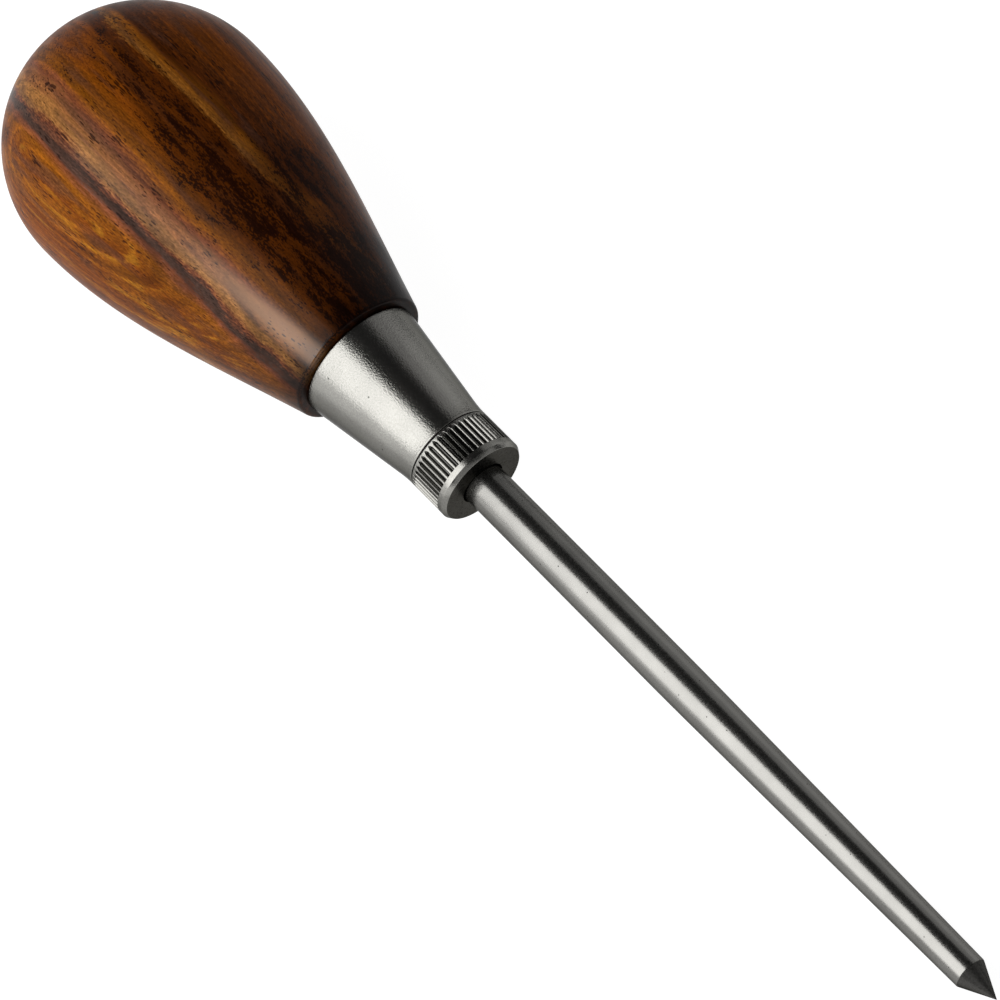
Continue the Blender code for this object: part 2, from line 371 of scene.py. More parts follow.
def join_body(piece: Object, body: Body, node: str) -> None:
    """Ride a piece on a body in place of a solid and log it.

    Args:
        piece: The new piece.
        body: Body that carries it.
        node: Solid that it stands for.
    """
    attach(piece, body.value)
    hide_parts(node)
    LOG.info("%s: %d faces on %s in place of %s", piece.name, len(piece.data.polygons), body.value, node)


@dataclass(frozen=True)
class Rosewood:
    """Oiled rosewood, turned and rubbed: straight dark streaks, open pores and a soft oil sheen.

    The layers are planes along the axis, so the streaks run the whole length. Black figure fills a wedge
    that widens towards the neck. Lengths are in millimetres, and the size of a mark is given across the
    layers, in a layer and along the grain.

    Attributes:
        name: Name of the material.
        layer_turn: Angle round from straight down to the direction across the layers, in degrees.
        noise_turn: Turn of the noises against the grain, which hides their lattice, in radians.
        reach: Distance across the layers that the streaks are given for, each way.
        streaks: Place across the layers and tone of each streak.
        cloud, plume, fibre, grain: Sizes of slow bends, soft waves, fine fibres and specks of single cells.
        strays: How far these four push the streaks sideways.
        heart, ring, ring_stray: Middle of the growth rings, their size and how far fibres push them.
        ring_tint, fibre_tint, grain_tint: Shares of the colour over those noises.
        mauve, gold: Covers of these tones over the plumes' noise, and over the rings' less the plumes'.
        flank: Push that keeps the gold to one flank, over the place across the layers.
        figure_near, figure_far: Edges of the black figure across the layers, along the axis.
        figure_fade, figure_depth: What its depth loses along the axis, and the most that it has.
        eye, eye_radius, eye_drawn: Place of its separate dark eye, and how wide and how drawn out that is.
        patch, figure_strays: Patches that break the figure up, and how far they and the specks push it.
        smoke, black: Covers of umber over its depth and of ebony over its broken depth.
        arris, arris_half, arris_stray, arris_dirt: Place, half width, roughness and cover of the line of
            dirt on the arris of the wood's end.
        neck_shade, end_shade, shoulder_shade: Shares of the colour that are left along the axis: darker over
            the
        neck, and darker again towards its end.
        rubbed, rubbed_lean: Place of the rubbed stripe and its painted highlight, run on to the nut's face,
            and its lean.
        rubbed_oil, belly_oil: Weight of the oil film away from that stripe, and its share along the axis
            that the palm has left.
        painted_highlight_tone, oil_roughness: Cover of buff over the film's weight, a painted highlight on
            the neck, and the film's roughness.
        pore, pore_edge: Spacing of the pores, and their openness away from the core, in spacings.
        crowd, crowding: Size of the crowds of pores, and how far those open them, in spacings.
        pore_dirt, pore_depth: Cover of ebony in an open pore, and its depth.
        fibre_depth, relief: Height of the fibres as a share of that depth, and strength of the relief.
        roughness, specular: Roughness over the plumes' noise, and gloss where the oil is worn off.
    """

    name: str = "oiled_rosewood_turned"
    layer_turn: float = 117.0
    noise_turn: Triple = (0.61, 0.37, 0.93)
    reach: float = 20.0
    streaks: tuple[tuple[float, Tone], ...] = (
        (-20.0, Tone.RUST), (-16.5, Tone.RUST), (-14.4, Tone.AMBER), (-12.6, Tone.RUST), (-10.4, Tone.AMBER),
        (-9.2, Tone.RUSSET), (-8.7, Tone.MAUVE), (-8.0, Tone.MAUVE), (-7.4, Tone.RUSSET), (-6.7, Tone.BUFF),
        (-5.8, Tone.BUFF), (-5.0, Tone.ROSE), (-4.2, Tone.ROSE), (-3.2, Tone.RUSSET), (-1.8, Tone.AMBER),
        (1.2, Tone.RUST), (5.0, Tone.RUST), (6.2, Tone.UMBER), (7.6, Tone.UMBER), (8.4, Tone.HONEY),
        (9.6, Tone.AMBER), (10.6, Tone.UMBER), (12.2, Tone.UMBER), (14.2, Tone.RUST), (20.0, Tone.RUST),
    )
    cloud: Triple = (14.0, 14.0, 45.0)
    plume: Triple = (1.5, 3.0, 18.0)
    fibre: Triple = (0.26, 0.4, 7.0)
    grain: Triple = (0.2, 0.2, 0.55)
    strays: tuple[float, float, float, float] = (4.0, 2.6, 1.2, 0.9)
    heart: tuple[float, float] = (-16.2, 18.6)
    ring: Triple = (0.7, 9.0, 90.0)
    ring_stray: float = 0.7
    ring_tint: Ramp = Ramp(-0.25, 0.25, 0.55, 1.45)
    fibre_tint: Ramp = Ramp(-0.25, 0.25, 0.7, 1.35)
    grain_tint: Ramp = Ramp(-0.25, 0.25, 0.58, 1.42)
    mauve: Ramp = Ramp(-0.02, 0.17, 0.0, 0.52)
    flank: Ramp = Ramp(-11.5, -9.0, 0.0, -0.5)
    gold: Ramp = Ramp(0.02, 0.26, 0.0, 0.48)
    figure_near: Ramp = Ramp(-86.0, -50.0, 8.0, 1.6)
    figure_far: Ramp = Ramp(-45.0, -32.0, 6.2, 12.5)
    figure_fade: Ramp = Ramp(-92.0, -80.0, -3.0, 0.0)
    figure_depth: float = 1.1
    eye: tuple[float, float] = (11.0, -44.5)
    eye_radius: float = 1.8
    eye_drawn: float = 1.8
    smoke: Ramp = Ramp(-2.6, 0.2, 0.0, 0.75)
    patch: Triple = (1.1, 2.0, 6.5)
    figure_strays: tuple[float, float] = (16.0, 12.0)
    black: Ramp = Ramp(-0.8, 1.5, 0.0, 0.92)
    arris: float = -24.95
    arris_half: float = 0.18
    arris_stray: float = 1.6
    arris_dirt: Ramp = Ramp(0.0, 1.0, 0.0, 0.85)
    neck_shade: Ramp = Ramp(-66.0, -44.0, 1.0, 0.78)
    end_shade: Ramp = Ramp(-38.0, -27.0, 1.0, 0.56)
    shoulder_shade: Ramp = Ramp(-28.2, -25.6, 1.0, 0.56)
    rubbed: float = -1.7
    rubbed_lean: float = 0.08
    rubbed_oil: Ramp = Ramp(0.2, 2.4, 0.75, 0.08)
    belly_oil: Ramp = Ramp(-48.0, -30.0, 0.2, 1.0)
    painted_highlight_tone: Ramp = Ramp(0.22, 0.66, 0.0, 0.62)
    oil_roughness: float = 0.2
    pore: Triple = (0.33, 0.33, 1.8)
    crowd: Triple = (1.6, 2.2, 5.0)
    crowding: float = 1.6
    pore_edge: Ramp = Ramp(0.04, 0.2, 1.0, 0.0)
    pore_dirt: Ramp = Ramp(0.0, 1.0, 0.0, 0.78)
    pore_depth: float = 0.012
    fibre_depth: float = 0.3
    relief: float = 0.7
    roughness: Ramp = Ramp(-0.25, 0.25, 0.288, 0.45)
    specular: float = 0.02

    def material(self, axis: AwlAxis) -> Material:
        """Build the material.

        Args:
            axis: Axis of the awl, which the grain follows.

        Returns:
            The new material.
        """
        material, tree, shader = new_tree(self.name)
        space = axis.pattern_space(tree, math.radians(self.layer_turn))
        cloud = self.drawn_noise(tree, space, self.cloud)
        plume = self.drawn_noise(tree, space, self.plume, detail=3.0)
        fibre = self.drawn_noise(tree, space, self.fibre)
        grain = self.drawn_noise(tree, space, self.grain)
        place = add_node(tree, "SeparateXYZ", {"Vector": space})
        height = place["Z"]
        layer = shifted(tree, place["X"], zip((cloud, plume, fibre, grain), self.strays))
        across = shifted(tree, place["X"], ((fibre, self.ring_stray),))
        flat = add_node(tree, "CombineXYZ", {"X": across, "Y": place["Y"]})[0]
        ends = {0: flat, 1: (*self.heart, 0.0)}
        away = add_node(tree, "VectorMath", ends, operation="DISTANCE")["Value"]
        ring_place = add_node(tree, "CombineXYZ", {"X": away, "Z": height})[0]
        ring = self.drawn_noise(tree, ring_place, self.ring)
        flank = add_node(tree, "MapRange", self.flank.over(place["X"]))[0]
        gold = shifted(tree, ring, ((flank, 1.0), (plume, -1.0)))
        depth, broken = self.black_figure(tree, layer, height, space, grain)
        film = self.oil_film(tree, place)
        pore = self.pores(tree, space)
        colour = self.streak_colour(tree, layer)
        # From the bottom up: a tone covers what is under it, and a layer without a tone tints it.
        for tone, guide, ramp in (
            (None, ring, self.ring_tint),
            (Tone.MAUVE, plume, self.mauve),
            (Tone.GOLD, gold, self.gold),
            (Tone.UMBER, depth, self.smoke),
            (Tone.EBONY, broken, self.black),
            (None, fibre, self.fibre_tint),
            (None, grain, self.grain_tint),
            (Tone.EBONY, self.arris_line(tree, height, grain), self.arris_dirt),
            (None, height, self.neck_shade),
            (None, height, self.end_shade),
            # Painted highlight: buff where the oil film is fullest, so the neck's gloss reads brighter.
            (Tone.BUFF, film, self.painted_highlight_tone),
            (None, height, self.shoulder_shade),
            (Tone.EBONY, pore, self.pore_dirt),
        ):
            colour = blended(tree, colour, tone, guide, ramp) if tone else tinted(tree, colour, guide, ramp)
        grooves = {
            "Height": shifted(tree, pore, ((fibre, -self.fibre_depth),)),
            "Strength": self.relief,
            "Distance": self.pore_depth * MM,
        }
        surface = {
            "Base Color": colour,
            "Roughness": add_node(tree, "MapRange", self.roughness.over(plume))[0],
            "Specular IOR Level": self.specular,
            "Coat Weight": film,
            "Coat Roughness": self.oil_roughness,
            "Normal": add_node(tree, "Bump", grooves, invert=True)[0],
        }
        feed(tree, shader, surface)
        return material

    def drawn_place(self, tree: NodeTree, space: Socket, size: Triple) -> Socket:
        """Socket of a place in millimetres, counted in sizes of a mark across, in and along the layers."""
        scale = tuple(1.0 / length for length in size)
        return add_node(tree, "Mapping", {"Vector": space, "Scale": scale, "Rotation": self.noise_turn})[0]

    def drawn_noise(self, tree: NodeTree, space: Socket, size: Triple, detail: float = 2.0) -> Socket:
        """Noise drawn out along the grain.

        Args:
            tree: Node tree of the material.
            space: Socket of the place on the awl in millimetres.
            size: Size of a mark across the layers, in a layer and along the grain, in millimetres.
            detail: How many finer noises are laid over it.

        Returns:
            Socket from -0.5 to 0.5.
        """
        place = self.drawn_place(tree, space, size)
        noise = add_node(tree, "TexNoise", {"Vector": place, "Scale": 1.0, "Detail": detail})[0]
        return add_node(tree, "Math", {0: noise, 1: 0.5}, operation="SUBTRACT")[0]

    def streak_colour(self, tree: NodeTree, layer: Socket) -> Socket:
        """Colour of the streaks by their place across the layers.

        Args:
            tree: Node tree of the material.
            layer: Socket of the place across the layers in millimetres.

        Returns:
            Colour socket.
        """
        share = add_node(tree, "MapRange", Ramp(-self.reach, self.reach).over(layer))[0]
        colour = add_node(tree, "ValToRGB", {"Fac": share})["Color"]
        stops = colour.node.color_ramp.elements
        stops.remove(stops[0])
        for count, (place, tone) in enumerate(self.streaks):
            spot = 0.5 + 0.5 * place / self.reach
            stop = stops[0] if count == 0 else stops.new(spot)
            stop.position = spot
            stop.color = linear_rgba(tone.value)
        return colour

    def arris_line(self, tree: NodeTree, height: Socket, grain: Socket) -> Socket:
        """Socket that is one on the rough line of dirt on the arris of the wood's end."""
        edge = shifted(tree, height, ((grain, self.arris_stray),))
        return add_node(tree, "Math", {0: edge, 1: self.arris, 2: self.arris_half}, operation="COMPARE")[0]

    def oil_film(self, tree: NodeTree, place: Any) -> Socket:
        """Weight of the oil film, which also lays the buff painted highlight: thin on the belly, fuller on
        the neck and full in the rubbed stripe.

        Args:
            tree: Node tree of the material.
            place: Sockets of the place on the awl in millimetres, by direction.

        Returns:
            Socket of the weight.
        """
        upright = shifted(tree, place["X"], ((place["Z"], -self.rubbed_lean),))
        aside = add_node(tree, "Math", {0: upright, 1: self.rubbed}, operation="SUBTRACT")[0]
        aside = add_node(tree, "Math", {0: aside}, operation="ABSOLUTE")[0]
        stripe = self.rubbed_oil.over(aside)
        weight = add_node(tree, "MapRange", stripe, interpolation_type="SMOOTHSTEP")[0]
        left = add_node(tree, "MapRange", self.belly_oil.over(place["Z"]))[0]
        return add_node(tree, "Math", {0: weight, 1: left}, operation="MULTIPLY")[0]

    def black_figure(
        self, tree: NodeTree, layer: Socket, height: Socket, space: Socket, grain: Socket
    ) -> tuple[Socket, Socket]:
        """Black figure between two edges that open towards the neck, broken up into smoky patches.

        Its depth is the distance inside the nearer edge, or inside the eye where that is more.

        Args:
            tree: Node tree of the material.
            layer: Socket of the place across the layers in millimetres.
            height: Socket of the place along the axis in millimetres.
            space: Socket of the place on the awl in millimetres.
            grain: Socket of the specks that it breaks up into.

        Returns:
            Sockets of its depth in millimetres, whole and broken up.
        """
        near_edge = self.figure_near.over(height)
        near = add_node(tree, "MapRange", near_edge, interpolation_type="SMOOTHSTEP")[0]
        far = add_node(tree, "MapRange", self.figure_far.over(height))[0]
        inside = add_node(tree, "Math", {0: layer, 1: near}, operation="SUBTRACT")[0]
        left = add_node(tree, "Math", {0: far, 1: layer}, operation="SUBTRACT")[0]
        wedge = add_node(tree, "Math", {0: inside, 1: left}, operation="MINIMUM")[0]
        squeezed = add_node(tree, "Math", {0: height, 1: self.eye_drawn}, operation="DIVIDE")[0]
        spot = add_node(tree, "CombineXYZ", {"X": layer, "Z": squeezed})[0]
        ends = {0: spot, 1: (self.eye[0], 0.0, self.eye[1] / self.eye_drawn)}
        away = add_node(tree, "VectorMath", ends, operation="DISTANCE")["Value"]
        eye = add_node(tree, "Math", {0: self.eye_radius, 1: away}, operation="SUBTRACT")[0]
        deeper = add_node(tree, "Math", {0: wedge, 1: eye}, operation="MAXIMUM")[0]
        depth = add_node(tree, "Math", {0: deeper, 1: self.figure_depth}, operation="MINIMUM")[0]
        fade = add_node(tree, "MapRange", self.figure_fade.over(height))[0]
        depth = add_node(tree, "Math", {0: depth, 1: fade}, operation="ADD")[0]
        patch = self.drawn_noise(tree, space, self.patch, detail=5.0)
        return depth, shifted(tree, depth, zip((patch, grain), self.figure_strays))

    def pores(self, tree: NodeTree, space: Socket) -> Socket:
        """Open pores: the cores of cells drawn out along the grain, short dark dashes on the surface.

        Args:
            tree: Node tree of the material.
            space: Socket of the place on the awl in millimetres.

        Returns:
            Socket that is one inside a pore.
        """
        place = self.drawn_place(tree, space, self.pore)
        core = add_node(tree, "TexVoronoi", {"Vector": place, "Scale": 1.0})["Distance"]
        crowd = self.drawn_noise(tree, space, self.crowd, detail=4.0)
        away = shifted(tree, core, ((crowd, -self.crowding),))
        return add_node(tree, "MapRange", self.pore_edge.over(away))[0]


@dataclass(frozen=True)
class Steel:
    """Plain tool steel, with the fine speckle that its finishing left and a few small pits.

    Real finishing marks are hundredths of a millimetre across and would not show, so every steel has them
    drawn coarser, at the size of its speckle.

    Attributes:
        name: Name of the material, for how the surface was made, or for the painted shade that it carries.
        tint: Reflected colour as sRGB hex.
        roughness: Roughness between the pits.
        speckle: Size of the finishing marks in millimetres.
        speckle_depth: Depth of the finishing marks in millimetres.
        pit, pit_depth: Spacing and depth of the pits in millimetres.
        pit_edge, pit_shade: Openness of a pit away from its core, in spacings, and the colour left in it.
        marks: Values that most of a noise lies between.
        cloud, cloud_gain: Size of the clouds in spacings of the pits, and their shares of the colour.
        grit: How much the finishing marks lighten and darken the steel, as a share.
        rough_gain: Shares of the roughness in the smoothest and roughest marks.
        glance: Share of its gloss that the steel keeps at a glancing angle.
        groove_shade: Share of the colour that painted shade leaves in grooves, over the radius in
            millimetres, if any.
        groove_shade_front: Front end of the grooves with painted shade along the axis, in millimetres.
    """

    name: str
    tint: str
    roughness: float
    speckle: float = 0.35
    speckle_depth: float = 0.003
    pit: float = 1.2
    pit_depth: float = 0.01
    pit_edge: Ramp = Ramp(0.03, 0.07, 1.0, 0.0)
    pit_shade: float = 0.35
    marks: tuple[float, float] = (0.3, 0.7)
    cloud: float = 1.0 / 0.3
    cloud_gain: tuple[float, float] = (0.9, 1.08)
    grit: float = 0.16
    rough_gain: tuple[float, float] = (0.85, 1.2)
    glance: float = 0.33
    groove_shade: Optional[Ramp] = None
    groove_shade_front: Ramp = Ramp(-1.42, -1.37)

    def material(self, axis: AwlAxis) -> Material:
        """Build the material.

        Args:
            axis: Axis of the awl, which places the marks.

        Returns:
            The new material.
        """
        material, tree, shader = new_tree(self.name)
        space = axis.pattern_space(tree)
        noise = {"Vector": space, "Scale": 1.0 / self.speckle, "Detail": 4.0}
        marks = add_node(tree, "TexNoise", noise)[0]
        clouds = {"Vector": space, "Scale": 1.0 / (self.cloud * self.pit), "Detail": 3.0}
        cloud = add_node(tree, "TexNoise", clouds)[0]
        core = add_node(tree, "TexVoronoi", {"Vector": space, "Scale": 1.0 / self.pit})["Distance"]
        pit = add_node(tree, "MapRange", self.pit_edge.over(core))[0]
        colour = tinted(tree, linear_rgba(self.tint)[:3], cloud, Ramp(*self.marks, *self.cloud_gain))
        colour = tinted(tree, colour, marks, Ramp(*self.marks, 1.0 - self.grit, 1.0 + self.grit))
        if self.groove_shade:
            # Painted shade: the knurl's grooves are drawn darker below the given radius.
            # In front of the grooves a millimetre is added to the radius, so that nothing is shaded there.
            flat = add_node(tree, "VectorMath", {0: space, 1: (1.0, 1.0, 0.0)}, operation="MULTIPLY")[0]
            radius = add_node(tree, "VectorMath", {0: flat}, operation="LENGTH")["Value"]
            height = add_node(tree, "SeparateXYZ", {"Vector": space})["Z"]
            past = add_node(tree, "MapRange", self.groove_shade_front.over(height))[0]
            colour = tinted(tree, colour, shifted(tree, radius, ((past, 1.0),)), self.groove_shade)
        layers = {"Factor": pit, 6: colour, 7: linear_rgba(self.tint, self.pit_shade)}
        rough = Ramp(*self.marks, *(self.roughness * gain for gain in self.rough_gain))
        fine = {"Height": marks, "Strength": 1.0, "Distance": self.speckle_depth * MM}
        dents = {
            "Height": pit,
            "Strength": 1.0,
            "Distance": self.pit_depth * MM,
            "Normal": add_node(tree, "Bump", fine)[0],
        }
        surface = {
            "Base Color": add_node(tree, "Mix", layers, data_type="RGBA")[2],
            "Metallic": 1.0,
            "Specular Tint": (self.glance, self.glance, self.glance, 1.0),
            "Roughness": add_node(tree, "MapRange", rough.over(marks))[0],
            "Normal": add_node(tree, "Bump", dents, invert=True)[0],
        }
        feed(tree, shader, surface)
        return material


@dataclass
class PalmHandle:
    """The turned handle: half an ellipsoid, a long neck, and a tenon with a square socket."""

    belly_radius: float = 19.58 * INSIDE_FLATS
    belly: float = -68.13
    dome_length: float = 19.9
    neck_length: float = 43.5
    neck_end_slope: float = -0.281
    shoulder_radius: float = 9.97
    shoulder: float = -24.63
    edge: float = 0.35
    tenon_rear_radius: float = 7.65
    tenon_rear_edge: float = 0.1
    tenon_radius: float = 6.6
    tenon_edge: float = 0.2
    tenon_end: float = -16.63
    socket_half: float = 3.6
    socket_end: float = -46.63
    socket_end_half: float = 1.8
    sides: int = 192
    stations: int = 72
    # Oiled and rubbed: warm streaks and black figure, dull on the belly, where the palm takes the oil off,
    # and shiny on the neck, with a buff painted highlight under the gloss. Single cells are too fine to
    # show, so their specks are drawn coarser.
    finish: Rosewood = Rosewood()

    def outline(self) -> np.ndarray:
        """Outline of the wood from its butt to its shoulder.

        The dome is r = R sin(a), z = belly - L cos(a). The neck is the cubic that starts level at the belly:
        r = R + (S - R) q^2 (3 - 2q) + slope N q^2 (q - 1), with q from 0 to 1 over the neck's length N.

        Returns:
            Rows of radius and height in millimetres.
        """
        angle = np.linspace(0.0, math.pi / 2, self.stations)
        dome_height = self.belly - self.dome_length * np.cos(angle)
        dome = np.column_stack((self.belly_radius * np.sin(angle), dome_height))
        last = 1.0 - self.edge / self.neck_length
        share = np.linspace(0.0, last, self.stations)[1:]
        fall = share**2 * (3 - 2 * share)
        pull = share**2 * (share - 1) * self.neck_end_slope * self.neck_length
        radius = self.belly_radius + (self.shoulder_radius - self.belly_radius) * fall + pull
        neck = np.column_stack((radius, self.belly + self.neck_length * share))
        return np.concatenate((dome, neck))

    def build(self, axis: AwlAxis) -> None:
        """Build and dress the handle.

        Args:
            axis: Axis that the handle is turned on.
        """
        turns = even_turns(self.sides)
        skin = self.outline()
        corners = (
            (*skin[-1], 0.0),
            (self.shoulder_radius, self.shoulder, self.edge),
            (self.tenon_rear_radius, self.shoulder, self.tenon_rear_edge),
            (self.tenon_radius, self.tenon_end, self.tenon_edge),
            (self.socket_half, self.tenon_end, 0.0),
        )
        round_part = np.concatenate((skin, rounded_outline(corners)[1:-1]))
        socket = square_radii((self.socket_half, self.socket_end_half, 0.0), turns)
        radius = np.vstack((np.repeat(round_part[:, :1], self.sides, axis=1), socket))
        height = np.concatenate((round_part[:, 1], (self.tenon_end, self.socket_end, self.socket_end)))
        piece = turned_piece("rosewood_handle", axis, radius, height[:, None], turns)
        piece.data.materials.append(self.finish.material(axis))
        join_body(piece, Body.HAFT, "handle")


@dataclass
class Ferrule:
    """The tapered steel sleeve, straight from the rear and levelled off to the nut's size in front."""

    front: float = -6.63
    length: float = 17.8
    front_radius: float = 6.45
    flare: float = 2.4
    blend: float = 2.5
    wall: float = 1.0
    edge: float = 0.12
    inner_edge: float = 0.05
    sides: int = 160
    stations: int = 12
    # Satin: a broad soft highlight that breaks up into bright specks at its edge, drawn coarser than real.
    finish: Steel = Steel(
        "satin_steel_ferrule", "#7B7A76", 0.21, speckle=0.23, speckle_depth=0.034, pit=2.4, grit=0.1
    )

    def build(self, axis: AwlAxis) -> None:
        """Build and dress the ferrule.

        Over the blend its radius rises by slope b^2 / (2 B), with b back from the front edge and B the
        blend's length, and behind the blend by the slope alone.

        Args:
            axis: Axis that the ferrule is turned on.
        """
        slope = self.flare / (self.length - self.blend / 2)
        back = np.linspace(self.blend, self.edge, self.stations)
        blend = np.column_stack((self.front_radius + slope * back**2 / (2 * self.blend), self.front - back))
        rear = self.front - self.length
        rear_radius = self.front_radius + self.flare
        corners = (
            (rear_radius - self.wall, rear, self.inner_edge),
            (rear_radius, rear, self.edge),
            (self.front_radius, self.front, self.edge),
            (self.front_radius - self.wall, self.front, self.inner_edge),
        )
        ends = ring_outline(corners)
        half = len(ends) // 2
        outline = np.concatenate((ends[:half], blend[:-1], ends[half:]))
        turns = even_turns(self.sides)
        piece = turned_piece("satin_ferrule", axis, outline[:, :1], outline[:, 1:], turns, ring=True)
        piece.data.materials.append(self.finish.material(axis))
        join_body(piece, Body.HAFT, "ferrule")


@dataclass
class ChuckStem:
    """The spindle inside: a square tang in the wood, a cone in the ferrule and a threaded nose."""

    tang_half: float = 3.4
    tang_tip_half: float = 1.6
    tang_tip: float = -46.43
    rear: float = -16.43
    rear_radius: float = 6.57
    collar: float = 0.3
    nose_rear: float = -6.63
    nose_front: float = -3.333
    nose_chamfer: float = 0.35
    crest: float = 5.36
    thread_depth: float = 0.5
    thread_pitch: float = 1.0
    run_out: float = 0.4
    bore: float = 4.4
    bore_end: float = -14.23
    sides: int = 128
    thread_rows: int = 61
    # Turned: a plain grey shine on the thread where the nut is opened, with its fine marks drawn coarser.
    finish: Steel = Steel("turned_steel_stem", "#747370", 0.3)

    def build(self, axis: AwlAxis) -> None:
        """Build and dress the stem.

        The thread is right-handed: its depth follows the triangle wave |2 frac(p) - 1| of the phase
        p = z / pitch - t / (2 pi), and runs out to nothing at both ends of the nose.

        Args:
            axis: Axis that the stem is turned on.
        """
        turns = even_turns(self.sides)
        tang = square_radii((0.0, self.tang_tip_half, self.tang_half), turns)
        place = np.linspace(self.nose_rear, self.nose_front, self.thread_rows)[:, None]
        phase = place / self.thread_pitch - turns / math.tau
        wave = np.abs(2 * (phase - np.floor(phase)) - 1)
        end = np.minimum(place - self.nose_rear, self.nose_front - place)
        depth = self.thread_depth * np.clip(end / self.run_out, 0.0, 1.0)
        taper = np.clip(self.nose_chamfer - (self.nose_front - place), 0.0, self.nose_chamfer)
        thread = self.crest - depth * wave - taper
        plain = np.array((self.rear_radius, self.crest, self.bore, self.bore, 0.0))
        spread = np.repeat(plain[:, None], self.sides, axis=1)
        radius = np.vstack((tang, spread[:2], thread, spread[2:]))
        behind = (self.tang_tip, self.tang_tip, self.rear, self.rear, self.nose_rear - self.collar)
        height = np.concatenate((behind, place[:, 0], (self.nose_front, self.bore_end, self.bore_end)))
        piece = turned_piece("threaded_chuck_stem", axis, radius, height[:, None], turns)
        piece.data.materials.append(self.finish.material(axis))
        join_body(piece, Body.HAFT, "chuck_stem")


@dataclass
class Collet:
    """The split sleeve that grips the blade: the solid itself, with a hardened finish."""

    # Hardened: darker and duller than the rest, as the heat leaves it, with its fine scale drawn coarser.
    finish: Steel = Steel("hardened_steel_collet", "#5E5D5A", 0.34)

    def dress(self, axis: AwlAxis) -> None:
        """Dress the solid.

        Args:
            axis: Axis of the awl.
        """
        piece = frame["nodes"]["collet"]
        piece.data.materials.clear()
        piece.data.materials.append(self.finish.material(axis))
        LOG.info("%s: the solid, dressed", piece.name)


